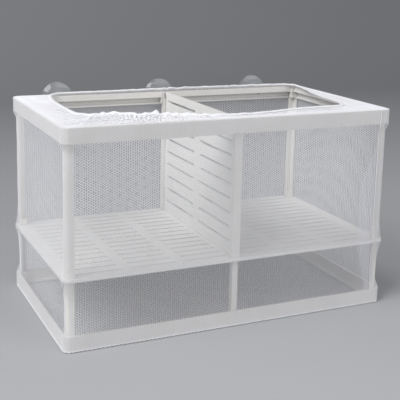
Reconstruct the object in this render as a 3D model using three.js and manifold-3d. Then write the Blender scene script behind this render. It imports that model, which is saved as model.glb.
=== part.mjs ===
// Fish breeding box: a hanging nursery for an aquarium. Two moulded frames are held apart by posts,
// a slotted false floor parts the fry chamber from the two chambers above it, a slotted divider
// slides in the middle posts, and a net bag with an elastic hem wraps the whole frame.
// Millimetres, +X to the right along the length, +Y to the back, +Z up.

import * as THREE from 'three';
import { mergeVertices } from 'three/addons/utils/BufferGeometryUtils.js';
import Module from 'manifold-3d';

const wasm = await Module();
wasm.setup();

// Overall sizes of the frame
const frameLength = 264;
const frameWidth = 146;
const frameHeight = 158;
const fryChamberHeight = 50;

// Clearances
const seatGap = 0.3;
const netGap = 0.3;
const cutOverrun = 2;

// Rails of the two frames
const wallThickness = 1.8;
const railHeight = 11;
const flangeReach = 6;
const flangeThickness = 1.8;
const lipDrop = 5;
const lipThickness = 1.3;
const beadReach = 1.2;
const beadHeight = 1.6;
const cornerRadius = 5;
const cornerStepCount = 5;

// Corner posts, their end blocks and pegs, and the bosses that take the pegs
const postLeg = 6;
const postThickness = 1.8;
const endBlockHeight = 4.4;
const pegRadius = 1.5;
const pegLength = 3.4;
const pegClearance = 0.25;
const pegSideCount = 12;
const bossSize = 7.5;
const bossDepth = 4;
const socketDepth = 3.6;

// Middle posts: grooved above the false floor, plain bars below it
const middlePostWidth = 6.4;
const middlePostDepth = 5.4;
const middlePostWeb = 1.5;
const middleTabWidth = 4;
const middleTabLength = 3;
const barWidth = 4.8;
const barDepth = 4.2;
const socketRibThickness = 1.5;
const socketRibReach = 4.2;

// False floor
const grateThickness = 2.5;
const grateEndMargin = 10.5;
const grateSideMargin = 8.4;
const grateColumnCount = 6;
const grateRowCount = 14;
const grateRib = 8;
const grateSlotWidth = 1.8;
const drainRadius = 0.9;
const drainSideCount = 8;

// Divider
const dividerThickness = 2;
const dividerEdgeGap = 1;
const dividerColumnCount = 2;
const dividerRowCount = 9;
const dividerSlotHeight = 2.3;
const dividerSideMargin = 6.4;
const dividerCentreRib = 10;
const dividerTopMargin = 6.6;
const dividerBottomMargin = 8.5;
const dividerTopDrop = 0.2;

// Net bag. Its real mesh is under two millimetres, so the diamond gaps here stand for many small
// ones. They are wide beside the two chambers, and too narrow for fry round the fry chamber. Each
// share is a gap's width over the distance between the middles of the cords beside it.
const netThickness = 0.5;
const netMargin = 7;
const netHemBand = 1.6;
const wideGapShare = 0.905;
const closeGapShare = 0.595;
const floorGapShare = 0.227;
const wideRowCount = 3;
const longWideColumnCount = 9;
const shortWideColumnCount = 5;
const closeRowCount = 1;
const longCloseColumnCount = 40;
const shortCloseColumnCount = 21;
const floorColumnCount = 15;
const floorRowCount = 2;

// Elastic hem that gathers the net round the top opening
const hemRadius = 1.2;
const hemSideCount = 6;
const gatherCount = 38;
const stepsPerGatherCount = 4;
const gatherReach = 0.9;
const gatherRise = 1.5;

// The opening's outline as shares of half the frame's length and half its width, from the front
// left corner round to the right. The hem lies further in at the left end, along the front and
// over the front right corner. At the back it lies on the rim.
const openingShares = [
  [-0.76, -0.50], [-0.66, -0.51], [-0.55, -0.63], [-0.42, -0.66], [-0.22, -0.77], [0.05, -0.83],
  [0.25, -0.79], [0.42, -0.71], [0.60, -0.67], [0.78, -0.64], [0.825, -0.50], [0.85, -0.12],
  [0.88, 0.20], [0.93, 0.56], [0.935, 0.86], [0.88, 0.93], [0.40, 0.94], [-0.35, 0.94],
  [-0.74, 0.92], [-0.80, 0.78], [-0.83, 0.10], [-0.81, -0.38],
];

// Suction cups. Their places are shares of half the frame's length.
const cupRadius = 13.5;
const cupReach = 11.5;
const cupRimWidth = 0.9;
const cupHollowDepth = 3;
const cupWall = 1.6;
const cupStemRadius = 3.6;
const cupShoulderLength = 3.4;
const cupNeckRadius = 1.6;
const cupHeadRadius = 2.2;
const cupHeadLength = 1.7;
const cupHoleClearance = 0.3;
const cupSideCount = 24;
const cupSpacingShare = 0.697;

// Finishes
const shellWhite = 0xf3f1ee;
const netWhite = 0xf6f5fa;
const cupClear = 0xdfe6ea;
const mouldedRoughness = 0.45;
const netRoughness = 0.8;
const cupRoughness = 0.2;

// Levels and faces that follow from the sizes above
const outsideX = frameLength / 2;
const outsideY = frameWidth / 2;
const wallInsideX = outsideX - wallThickness;
const wallInsideY = outsideY - wallThickness;
const wallMiddleY = outsideY - wallThickness / 2;
const postOutsideX = wallInsideX - seatGap;
const postOutsideY = wallInsideY - seatGap;
const postRadius = cornerRadius - wallThickness - seatGap;
const pegX = postOutsideX - postLeg / 2;
const pegY = postOutsideY - postLeg / 2;
const baseLevel = netThickness + netGap;
const topLevel = baseLevel + frameHeight;
const topFlangeUnderside = topLevel - flangeThickness;
const baseFlangeTop = baseLevel + flangeThickness;
const grateUnderside = baseLevel + fryChamberHeight;
const grateTop = grateUnderside + grateThickness;
const grooveWidth = dividerThickness + 2 * seatGap;
const dividerHalfWidth = postOutsideY - middlePostWeb - dividerEdgeGap;
const netOutsideX = outsideX + netGap + netThickness;
const netOutsideY = outsideY + netGap + netThickness;
const netCornerRadius = cornerRadius + netGap + netThickness;
const cuffUnderside = topLevel + netGap;
const hemLevel = cuffUnderside + hemRadius;
const cupSpacing = cupSpacingShare * outsideX;
const cupLevel = topFlangeUnderside - seatGap - cupHeadRadius;
const cupShoulder = netGap + netThickness + netGap;

const corners = [[-1, -1, 'front_left'], [1, -1, 'front_right'], [-1, 1, 'back_left'], [1, 1, 'back_right']];
const longSides = [[-1, 'front'], [1, 'back']];
const shortSides = [[-1, 'left'], [1, 'right']];
const cupPlaces = [[-1, 'left'], [0, 'middle'], [1, 'right']];

// Solids from three.js geometry, and back again
function solidOf(geometry) {
  const bare = geometry.clone();
  bare.deleteAttribute('normal');
  bare.deleteAttribute('uv');
  const welded = mergeVertices(bare);
  return new wasm.Manifold(new wasm.Mesh({
    numProp: 3,
    vertProperties: new Float32Array(welded.attributes.position.array),
    triVerts: new Uint32Array(welded.index.array),
  }));
}

function geometryOf(solid) {
  const cut = solid.getMesh();
  const geometry = new THREE.BufferGeometry();
  geometry.setAttribute('position', new THREE.BufferAttribute(cut.vertProperties, 3));
  geometry.setIndex(new THREE.BufferAttribute(cut.triVerts, 1));
  geometry.computeVertexNormals();
  return geometry;
}

function joined(solids) {
  return solids.reduce((sum, next) => sum.add(next));
}

// An upright prism over a list of points
function prism(points, bottom, top) {
  const shape = new THREE.Shape(points);
  const geometry = new THREE.ExtrudeGeometry(shape, { depth: top - bottom, bevelEnabled: false });
  return solidOf(geometry.translate(0, 0, bottom));
}

// The four corners of a rectangle, each span given as its low and high end
function rectangle([left, right], [low, high]) {
  return [[left, low], [right, low], [right, high], [left, high]].map(([x, y]) => new THREE.Vector2(x, y));
}

function block(spanX, spanY, bottom, top) {
  return prism(rectangle(spanX, spanY), bottom, top);
}

// A span from a face towards the middle of the part, on the given side
function spanIn(side, face, reach) {
  const ends = [side * face, side * (face - reach)];
  return [Math.min(...ends), Math.max(...ends)];
}

function ringPoints(x, y, radius, sideCount) {
  const points = [];
  for (let side = 0; side < sideCount; side += 1) {
    const angle = (side / sideCount) * 2 * Math.PI;
    points.push(new THREE.Vector2(x + radius * Math.cos(angle), y + radius * Math.sin(angle)));
  }
  return points;
}

function pin(x, y, radius, bottom, top) {
  return prism(ringPoints(x, y, radius, pegSideCount), bottom, top);
}

function pinAlongY(x, z, radius, front, back) {
  const geometry = new THREE.CylinderGeometry(radius, radius, back - front, pegSideCount);
  return solidOf(geometry.translate(x, (front + back) / 2, z));
}

// A rectangle with round corners, centred on the middle of the part
function roundedOutline(halfX, halfY, radius, stepCount) {
  const points = [];
  [[1, -1], [1, 1], [-1, 1], [-1, -1]].forEach(([sideX, sideY], corner) => {
    for (let step = 0; step <= stepCount; step += 1) {
      const angle = (corner - 1 + step / stepCount) * (Math.PI / 2);
      points.push(new THREE.Vector2(
        sideX * (halfX - radius) + radius * Math.cos(angle),
        sideY * (halfY - radius) + radius * Math.sin(angle),
      ));
    }
  });
  return points;
}

// The frame's outline taken in by a distance, as an upright prism
function frameCore(inset, bottom, top) {
  const radius = Math.max(cornerRadius - inset, postRadius / 2);
  const outline = roundedOutline(outsideX - inset, outsideY - inset, radius, cornerStepCount);
  return prism(outline, bottom, top);
}

// A band that follows the frame's outline between two distances in from its outside face
function frameBand(outerInset, innerInset, bottom, top) {
  const inside = frameCore(innerInset, bottom - cutOverrun, top + cutOverrun);
  return frameCore(outerInset, bottom, top).subtract(inside);
}

// A flat plate with holes right through it, drawn in its own plane
function piercedPlate(outline, holes, thickness) {
  const plate = prism(outline, 0, thickness);
  const cores = joined(holes.map((hole) => prism(hole, -cutOverrun, thickness + cutOverrun)));
  return geometryOf(plate.subtract(cores));
}

// Square columns in the rail's inner corners, that take the pegs of the corner posts
function cornerBosses(bottom, top) {
  const columns = joined(corners.map(([sideX, sideY]) => block(
    spanIn(sideX, outsideX - wallThickness / 2, bossSize),
    spanIn(sideY, wallMiddleY, bossSize),
    bottom,
    top,
  )));
  return columns.intersect(frameCore(wallThickness / 2, bottom, top));
}

function pegHoles(bottom, top) {
  const radius = pegRadius + pegClearance;
  return corners.map(([sideX, sideY]) => pin(sideX * pegX, sideY * pegY, radius, bottom, top));
}

// The top frame: wall, flange, down-turned lip and lower bead, then the bosses and the ribs that
// hold the middle posts, then the cuts
function topFrameSolid() {
  const railUnderside = topLevel - railHeight;
  const bossUnderside = topFlangeUnderside - bossDepth;
  const socketHalf = middlePostWidth / 2 + seatGap;
  const ribs = longSides.flatMap(([sideY]) => shortSides.map(([sideX]) => block(
    spanIn(sideX, socketHalf + socketRibThickness, socketRibThickness),
    spanIn(sideY, wallMiddleY, wallThickness / 2 + socketRibReach),
    railUnderside + beadHeight / 2,
    topLevel - flangeThickness / 2,
  )));
  const body = joined([
    frameBand(0, wallThickness, railUnderside, topLevel),
    frameBand(wallThickness / 2, flangeReach, topFlangeUnderside, topLevel),
    frameBand(flangeReach - lipThickness, flangeReach, topLevel - lipDrop, topLevel - flangeThickness / 2),
    frameBand(wallThickness / 2, wallThickness + beadReach, railUnderside, railUnderside + beadHeight),
    cornerBosses(bossUnderside, topLevel - flangeThickness / 2),
    ...ribs,
  ]);
  // the corner posts end under their bosses
  const cornerRoom = joined(corners.map(([sideX, sideY]) => block(
    spanIn(sideX, outsideX, wallThickness + seatGap + postLeg + seatGap),
    spanIn(sideY, outsideY, wallThickness + seatGap + postLeg + seatGap),
    railUnderside - cutOverrun,
    bossUnderside,
  ))).intersect(frameCore(wallThickness, railUnderside - cutOverrun, topLevel));
  // the middle posts end under the flange, and the divider slides out through a notch in it
  const middleRoom = longSides.map(([sideY]) => block(
    [-socketHalf, socketHalf],
    spanIn(sideY, wallInsideY, seatGap + middlePostDepth + seatGap),
    railUnderside - cutOverrun,
    topFlangeUnderside,
  ));
  const notches = longSides.map(([sideY]) => block(
    [-grooveWidth / 2, grooveWidth / 2],
    spanIn(sideY, dividerHalfWidth + seatGap, dividerHalfWidth / 2),
    railUnderside - cutOverrun,
    topLevel + cutOverrun,
  ));
  // the necks of the suction cups pass through the back wall
  const neckHoles = cupPlaces.map(([place]) => pinAlongY(
    place * cupSpacing,
    cupLevel,
    cupNeckRadius + cupHoleClearance,
    wallInsideY - cutOverrun,
    outsideY + cutOverrun,
  ));
  const holes = pegHoles(bossUnderside - cutOverrun, topFlangeUnderside);
  return body.subtract(joined([cornerRoom, ...middleRoom, ...notches, ...neckHoles, ...holes]));
}

// The bottom frame: the same wall with its flange underneath, and bosses for the short posts
function bottomFrameSolid() {
  const bossTop = baseFlangeTop + bossDepth;
  const pocketHalf = barWidth / 2 + seatGap;
  const pocketReach = seatGap + barDepth + seatGap;
  const barBosses = longSides.map(([sideY]) => block(
    [-(pocketHalf + socketRibThickness), pocketHalf + socketRibThickness],
    spanIn(sideY, wallMiddleY, wallThickness / 2 + pocketReach + socketRibThickness),
    baseLevel,
    bossTop,
  ));
  const pockets = longSides.map(([sideY]) => block(
    [-pocketHalf, pocketHalf],
    spanIn(sideY, wallInsideY, pocketReach),
    baseFlangeTop,
    bossTop + cutOverrun,
  ));
  const body = joined([
    frameBand(0, wallThickness, baseLevel, baseLevel + railHeight),
    frameBand(wallThickness / 2, flangeReach, baseLevel, baseFlangeTop),
    cornerBosses(baseLevel, bossTop),
    ...barBosses,
  ]);
  return body.subtract(joined([...pockets, ...pegHoles(baseFlangeTop, bossTop + cutOverrun)]));
}

// The L section of a corner post, with a round outer corner
function cornerPostOutline(sideX, sideY) {
  const points = [];
  for (let step = 0; step <= cornerStepCount; step += 1) {
    const angle = (step / cornerStepCount) * (Math.PI / 2);
    points.push([postRadius * (1 - Math.sin(angle)), postRadius * (1 - Math.cos(angle))]);
  }
  points.push([0, postLeg], [postThickness, postLeg], [postThickness, postThickness]);
  points.push([postLeg, postThickness], [postLeg, 0]);
  return points.map(([x, y]) => new THREE.Vector2(
    sideX * (postOutsideX - x),
    sideY * (postOutsideY - y),
  ));
}

// A corner post: its section, a filled block at each end, and its pegs
function cornerPostSolid(sideX, sideY, bottom, top, pegSpans) {
  const inset = postThickness / 2;
  const blockX = spanIn(sideX, postOutsideX - inset, postLeg - inset);
  const blockY = spanIn(sideY, postOutsideY - inset, postLeg - inset);
  return joined([
    prism(cornerPostOutline(sideX, sideY), bottom, top),
    block(blockX, blockY, bottom, bottom + endBlockHeight),
    block(blockX, blockY, top - endBlockHeight, top),
    ...pegSpans.map(([low, high]) => pin(sideX * pegX, sideY * pegY, pegRadius, low, high)),
  ]);
}

// The long corner posts peg into the top frame's bosses and, through the false floor, into the
// short posts
function upperPostSolid(sideX, sideY) {
  const bottom = grateTop + seatGap;
  const top = topFlangeUnderside - bossDepth - seatGap;
  return cornerPostSolid(sideX, sideY, bottom, top, [
    [grateUnderside - pegLength, bottom + endBlockHeight / 2],
    [top - endBlockHeight / 2, top + pegLength],
  ]);
}

function lowerPostSolid(sideX, sideY) {
  const bottom = baseFlangeTop + bossDepth + seatGap;
  const top = grateUnderside - seatGap;
  const post = cornerPostSolid(sideX, sideY, bottom, top, [
    [bottom - pegLength, bottom + endBlockHeight / 2],
  ]);
  const socketRadius = pegRadius + pegClearance;
  const socket = pin(sideX * pegX, sideY * pegY, socketRadius, top - socketDepth, top + cutOverrun);
  return post.subtract(socket);
}

// The channel that guides one edge of the divider. Its tab passes through the false floor.
function middlePostSolid(sideY) {
  const bottom = grateTop + seatGap;
  const top = topFlangeUnderside - seatGap;
  const channel = block(
    [-middlePostWidth / 2, middlePostWidth / 2],
    spanIn(sideY, postOutsideY, middlePostDepth),
    bottom,
    top,
  );
  const groove = block(
    [-grooveWidth / 2, grooveWidth / 2],
    spanIn(sideY, postOutsideY - middlePostWeb, middlePostDepth),
    bottom - cutOverrun,
    top + cutOverrun,
  );
  const tab = block(
    [-middleTabWidth / 2, middleTabWidth / 2],
    spanIn(sideY, postOutsideY, middlePostWeb),
    grateUnderside - middleTabLength,
    bottom + middlePostWeb,
  );
  return joined([channel.subtract(groove), tab]);
}

// The back channel has a notch in its web for the button head of the middle suction cup
function notchedMiddlePostSolid(sideY) {
  const headRoom = cupHeadRadius + cupHoleClearance;
  const across = spanIn(sideY, outsideY, outsideY - postOutsideY + middlePostDepth + cutOverrun);
  const notch = joined([
    pinAlongY(0, cupLevel, headRoom, ...across),
    block([-headRoom, headRoom], across, cupLevel, topLevel),
  ]);
  return middlePostSolid(sideY).subtract(notch);
}

// The short bar under a channel, with a socket for its tab
function barSolid(sideY) {
  const top = grateUnderside - seatGap;
  const bar = block(
    [-barWidth / 2, barWidth / 2],
    spanIn(sideY, postOutsideY, barDepth),
    baseFlangeTop + seatGap,
    top,
  );
  const socket = block(
    [-(middleTabWidth / 2 + pegClearance), middleTabWidth / 2 + pegClearance],
    spanIn(sideY, postOutsideY + cutOverrun, cutOverrun + middlePostWeb + pegClearance),
    top - middleTabLength,
    top + cutOverrun,
  );
  return bar.subtract(socket);
}

// The false floor: columns of narrow slots along the length, holes for the pegs and tabs,
// and small drain holes near the long edges
function grateGeometry() {
  const holes = [];
  const ribTotal = (grateColumnCount - 1) * grateRib;
  const slotLength = (frameLength - 2 * grateEndMargin - ribTotal) / grateColumnCount;
  const rowPitch = (frameWidth - 2 * grateSideMargin - grateSlotWidth) / (grateRowCount - 1);
  for (let column = 0; column < grateColumnCount; column += 1) {
    const left = -outsideX + grateEndMargin + column * (slotLength + grateRib);
    for (let row = 0; row < grateRowCount; row += 1) {
      const low = -outsideY + grateSideMargin + row * rowPitch;
      holes.push(rectangle([left, left + slotLength], [low, low + grateSlotWidth]));
    }
  }
  corners.forEach(([sideX, sideY]) => {
    holes.push(ringPoints(sideX * pegX, sideY * pegY, pegRadius + pegClearance, pegSideCount));
    const drainX = sideX * (slotLength + grateRib);
    const drainY = sideY * (outsideY - grateSideMargin / 2);
    holes.push(ringPoints(drainX, drainY, drainRadius, drainSideCount));
  });
  const tabHalf = middleTabWidth / 2 + pegClearance;
  longSides.forEach(([sideY]) => {
    const across = spanIn(sideY, postOutsideY + pegClearance, middlePostWeb + 2 * pegClearance);
    holes.push(rectangle([-tabHalf, tabHalf], across));
  });
  const outline = roundedOutline(outsideX, outsideY, cornerRadius, cornerStepCount);
  return piercedPlate(outline, holes, grateThickness);
}

// The divider: two columns of slots, drawn flat with its height upwards
function dividerGeometry() {
  const holes = [];
  const height = topLevel - dividerTopDrop - grateTop - seatGap;
  const ribTotal = (dividerColumnCount - 1) * dividerCentreRib;
  const slotLength = (2 * dividerHalfWidth - 2 * dividerSideMargin - ribTotal) / dividerColumnCount;
  const slottedHeight = height - dividerTopMargin - dividerBottomMargin;
  const pitch = (slottedHeight - dividerSlotHeight) / (dividerRowCount - 1);
  for (let column = 0; column < dividerColumnCount; column += 1) {
    const left = -dividerHalfWidth + dividerSideMargin + column * (slotLength + dividerCentreRib);
    for (let row = 0; row < dividerRowCount; row += 1) {
      const low = dividerBottomMargin + row * pitch;
      holes.push(rectangle([left, left + slotLength], [low, low + dividerSlotHeight]));
    }
  }
  const outline = rectangle([-dividerHalfWidth, dividerHalfWidth], [0, height]);
  return piercedPlate(outline, holes, dividerThickness);
}

// One band of diamond gaps: rows of diamonds with staggered rows between them
function diamondGaps([left, right], [low, high], columnCount, rowCount, gapShare) {
  const halfPitchX = (right - left) / columnCount / 2;
  const halfPitchY = (high - low) / rowCount / 2;
  const gaps = [];
  for (let row = 0; row < 2 * rowCount - 1; row += 1) {
    const staggered = row % 2;
    const y = low + halfPitchY * (row + 1);
    for (let column = 0; column < columnCount - staggered; column += 1) {
      const x = left + halfPitchX * (2 * column + 1 + staggered);
      gaps.push([
        new THREE.Vector2(x - halfPitchX * gapShare, y),
        new THREE.Vector2(x, y - halfPitchY * gapShare),
        new THREE.Vector2(x + halfPitchX * gapShare, y),
        new THREE.Vector2(x, y + halfPitchY * gapShare),
      ]);
    }
  }
  return gaps;
}

// The gaps of one side panel, drawn with its height upwards. The panel is plain where it lies on
// the rails and on the false floor's edge.
function wallGaps(halfLength, wideColumnCount, closeColumnCount) {
  const span = [netMargin - halfLength, halfLength - netMargin];
  const wideBand = [grateTop + netHemBand, topLevel - railHeight];
  const closeBand = [baseLevel + railHeight, grateUnderside - netHemBand];
  return [
    ...diamondGaps(span, wideBand, wideColumnCount, wideRowCount, wideGapShare),
    ...diamondGaps(span, closeBand, closeColumnCount, closeRowCount, closeGapShare),
  ];
}

// The bag's four walls as one closed band, before it is parted and pierced
function netBandSolid() {
  const inset = netOutsideX - netThickness;
  const outer = roundedOutline(netOutsideX, netOutsideY, netCornerRadius, cornerStepCount);
  const inner = roundedOutline(
    inset,
    netOutsideY - netThickness,
    netCornerRadius - netThickness,
    cornerStepCount,
  );
  const core = prism(inner, baseLevel - cutOverrun, topLevel + cutOverrun);
  return prism(outer, baseLevel, topLevel).subtract(core);
}

// Flat outlines stood up as cutters: drawn X stays X and drawn Y becomes Z
function standingCutters(outlines, depth) {
  return joined(outlines.map((outline) => prism(outline, -depth, depth))).rotate([90, 0, 0]);
}

// A long side panel, with the bag's two round corners of that side
function longNetSolid(sideY) {
  const cornerLine = netOutsideY - netCornerRadius;
  const side = block(
    [-(netOutsideX + cutOverrun), netOutsideX + cutOverrun],
    spanIn(sideY, netOutsideY + cutOverrun, netOutsideY + cutOverrun - cornerLine),
    baseLevel,
    topLevel,
  );
  const outlines = wallGaps(netOutsideX, longWideColumnCount, longCloseColumnCount);
  if (sideY > 0) {
    cupPlaces.forEach(([place]) => {
      const radius = cupNeckRadius + cupHoleClearance;
      outlines.push(ringPoints(place * cupSpacing, cupLevel, radius, pegSideCount));
    });
  }
  const cutters = standingCutters(outlines, netCornerRadius).translate([0, sideY * netOutsideY, 0]);
  return netBandSolid().intersect(side).subtract(cutters);
}

function shortNetSolid(sideX) {
  const halfLength = netOutsideY - netCornerRadius - netGap;
  const side = block(
    spanIn(sideX, netOutsideX + cutOverrun, netOutsideX),
    [-halfLength, halfLength],
    baseLevel,
    topLevel,
  );
  const outlines = wallGaps(netOutsideY, shortWideColumnCount, shortCloseColumnCount);
  const cutters = standingCutters(outlines, netCornerRadius).rotate([0, 0, 90]);
  return netBandSolid().intersect(side).subtract(cutters.translate([sideX * netOutsideX, 0, 0]));
}

function netFloorGeometry() {
  const outline = roundedOutline(netOutsideX, netOutsideY, netCornerRadius, cornerStepCount);
  const spanX = [netMargin - netOutsideX, netOutsideX - netMargin];
  const spanY = [netMargin - netOutsideY, netOutsideY - netMargin];
  const gaps = diamondGaps(spanX, spanY, floorColumnCount, floorRowCount, floorGapShare);
  return piercedPlate(outline, gaps, netThickness);
}

// The opening's centre line, and one station on the gathered hem. Each gather swings in and out.
const openingCurve = new THREE.CatmullRomCurve3(
  openingShares.map(([shareX, shareY]) => new THREE.Vector3(shareX * outsideX, shareY * outsideY, 0)),
  true,
  'centripetal',
);
const stationCount = gatherCount * stepsPerGatherCount;

function openingStation(station, inset) {
  const share = station / stationCount;
  const tangent = openingCurve.getTangentAt(share);
  const inwards = new THREE.Vector3(-tangent.y, tangent.x, 0);
  const swing = gatherReach * Math.sin(2 * Math.PI * gatherCount * share);
  const centre = openingCurve.getPointAt(share).addScaledVector(inwards, swing + inset);
  return { centre, inwards };
}

// The turned-in part of the bag: a flat sheet over the top rim with the opening cut out of it
function netCuffGeometry() {
  const outline = roundedOutline(netOutsideX, netOutsideY, netCornerRadius, cornerStepCount);
  const edge = [];
  for (let station = 0; station < stationCount; station += 1) {
    const { centre } = openingStation(station, -(hemRadius + netGap));
    edge.push(new THREE.Vector2(centre.x, centre.y));
  }
  return piercedPlate(outline, [edge], netThickness);
}

// The gathered hem: a closed tube along the opening, lifted off the rim between its gathers
function hemGeometry() {
  const positions = [];
  const indices = [];
  for (let station = 0; station < stationCount; station += 1) {
    const { centre, inwards } = openingStation(station, 0);
    const turn = (2 * Math.PI * station) / stepsPerGatherCount;
    const lift = (gatherRise / 2) * (1 - Math.cos(turn));
    const next = (station + 1) % stationCount;
    for (let side = 0; side < hemSideCount; side += 1) {
      const angle = (side / hemSideCount) * 2 * Math.PI;
      const across = hemRadius * Math.cos(angle);
      const up = hemRadius * Math.sin(angle);
      positions.push(centre.x + inwards.x * across, centre.y + inwards.y * across, lift + up);
      const nextSide = (side + 1) % hemSideCount;
      const here = station * hemSideCount;
      const there = next * hemSideCount;
      indices.push(here + side, here + nextSide, there + nextSide);
      indices.push(here + side, there + nextSide, there + side);
    }
  }
  const geometry = new THREE.BufferGeometry();
  geometry.setAttribute('position', new THREE.Float32BufferAttribute(positions, 3));
  geometry.setIndex(indices);
  geometry.computeVertexNormals();
  return geometry;
}

// A suction cup, revolved about its own axis. The button head is inside the back wall, and the
// hollow rim faces backwards. Zero is the wall's outside face.
function cupGeometry() {
  const headInside = -(wallThickness + seatGap + cupHeadLength);
  const headOutside = headInside + cupHeadLength;
  const rim = cupShoulder + cupReach;
  const hollowFloor = rim - cupHollowDepth;
  const profile = [
    [0, headInside],
    [cupHeadRadius * 0.6, headInside],
    [cupHeadRadius, headInside + cupHeadLength / 2],
    [cupHeadRadius, headOutside],
    [cupNeckRadius, headOutside],
    [cupNeckRadius, cupShoulder],
    [cupStemRadius, cupShoulder],
    [cupStemRadius, cupShoulder + cupShoulderLength],
    [cupRadius * 0.62, hollowFloor - cupWall / 2],
    [cupRadius * 0.9, rim - cupHollowDepth / 2],
    [cupRadius, rim],
    [cupRadius - cupRimWidth, rim],
    [cupRadius * 0.6, hollowFloor + cupWall / 2],
    [0, hollowFloor],
  ];
  return new THREE.LatheGeometry(profile.map(([radius, y]) => new THREE.Vector2(radius, y)), cupSideCount);
}

// Scene graph. The box is shifted so that the whole part, cups included, is centred front to back.
const breedingBox = new THREE.Group();
const cupBackFace = outsideY + cupShoulder + cupReach;
breedingBox.position.y = (netOutsideY - cupBackFace) / 2;

function addPiece(name, geometry, color, roughness) {
  const material = new THREE.MeshStandardMaterial({ color, roughness, metalness: 0, flatShading: true });
  const mesh = new THREE.Mesh(geometry, material);
  mesh.name = name;
  breedingBox.add(mesh);
  return mesh;
}

function addMoulding(name, solid) {
  return addPiece(name, geometryOf(solid), shellWhite, mouldedRoughness);
}

addMoulding('top_frame', topFrameSolid());
addMoulding('bottom_frame', bottomFrameSolid());

corners.forEach(([sideX, sideY, place]) => {
  addMoulding(`upper_post_${place}`, upperPostSolid(sideX, sideY));
  addMoulding(`lower_post_${place}`, lowerPostSolid(sideX, sideY));
});

longSides.forEach(([sideY, place]) => {
  const channel = sideY > 0 ? notchedMiddlePostSolid(sideY) : middlePostSolid(sideY);
  addMoulding(`middle_post_${place}`, channel);
  addMoulding(`lower_middle_post_${place}`, barSolid(sideY));
  addPiece(`net_${place}`, geometryOf(longNetSolid(sideY)), netWhite, netRoughness);
});

shortSides.forEach(([sideX, place]) => {
  addPiece(`net_${place}`, geometryOf(shortNetSolid(sideX)), netWhite, netRoughness);
});

const grate = addPiece('grate', grateGeometry(), shellWhite, mouldedRoughness);
grate.position.z = grateUnderside;

// The divider is drawn flat and stood up across the box: drawn X becomes Y and drawn Y becomes Z.
const divider = addPiece('divider', dividerGeometry(), shellWhite, mouldedRoughness);
divider.rotation.set(Math.PI / 2, Math.PI / 2, 0);
divider.position.set(-dividerThickness / 2, 0, grateTop + seatGap);

addPiece('net_floor', netFloorGeometry(), netWhite, netRoughness);

const cuff = addPiece('net_cuff', netCuffGeometry(), netWhite, netRoughness);
cuff.position.z = cuffUnderside;

const hem = addPiece('elastic_hem', hemGeometry(), netWhite, netRoughness);
hem.position.z = hemLevel;

cupPlaces.forEach(([place, side]) => {
  const cup = addPiece(`suction_cup_${side}`, cupGeometry(), cupClear, cupRoughness);
  cup.position.set(place * cupSpacing, outsideY, cupLevel);
});

export default breedingBox;
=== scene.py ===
# %% [markdown]
# # A fish breeding box in its net bag
# The real object hangs inside an aquarium. Two white moulded frames are held apart by posts, a
# slotted false floor and a slotted divider part the inside into chambers, and one fine net bag
# is pulled over everything, with its elastic hem turned in over the top rim. Three clear
# suction cups hold it to the glass.
#
# The mouldings come from the CAD model as they are, so this file gives them their finish. What
# is soft there is a plain stand-in: the net with its wide gaps, the flat cuff and the six-sided
# hem. Here they are made again as what they are.

# %% Load the frame from the CAD model
import math

import bpy
import numpy as np
from mathutils import Matrix, Vector


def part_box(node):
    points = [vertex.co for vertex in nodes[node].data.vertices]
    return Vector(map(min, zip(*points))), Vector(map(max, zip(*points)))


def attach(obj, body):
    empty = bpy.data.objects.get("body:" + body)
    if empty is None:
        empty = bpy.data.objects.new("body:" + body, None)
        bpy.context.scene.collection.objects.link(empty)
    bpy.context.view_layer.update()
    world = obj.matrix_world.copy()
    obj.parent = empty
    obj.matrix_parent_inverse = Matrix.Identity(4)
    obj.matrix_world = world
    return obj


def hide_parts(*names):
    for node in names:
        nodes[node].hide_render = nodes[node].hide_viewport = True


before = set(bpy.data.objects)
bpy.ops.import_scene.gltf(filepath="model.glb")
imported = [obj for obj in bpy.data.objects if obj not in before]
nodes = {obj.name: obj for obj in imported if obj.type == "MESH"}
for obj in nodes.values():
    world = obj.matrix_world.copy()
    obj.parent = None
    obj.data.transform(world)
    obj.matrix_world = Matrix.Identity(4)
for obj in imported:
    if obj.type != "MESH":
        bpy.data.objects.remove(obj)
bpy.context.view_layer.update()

MM = 0.001
bpy.ops.object.select_all(action="DESELECT")

# %% [markdown]
# ## The sizes that everything follows
# A bag is cut to fit its frame, so its sizes are read off the mouldings and not typed in again.
# If the frame in the CAD model changes, the bag follows it.

# %% Read the mouldings' faces
rim_low, rim_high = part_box("top_frame")
base_low, base_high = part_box("bottom_frame")
floor_low, floor_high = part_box("grate")
half_length = rim_high.x
half_width = (rim_high.y - rim_low.y) / 2
middle_y = (rim_high.y + rim_low.y) / 2
rim_top = rim_high.z
rim_underside = rim_low.z
base_top = base_high.z
print(f"frame {2000 * half_length:.1f} x {2000 * half_width:.1f} x {1000 * rim_top:.1f} mm")

# %% [markdown]
# ## The camera
# The photograph was taken from the front left and a little above, with the object in the upper
# part of the lens's view. The position comes from the box's eight corners in the picture, and
# the slight roll and the downward shift of the frame are part of it.

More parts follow.
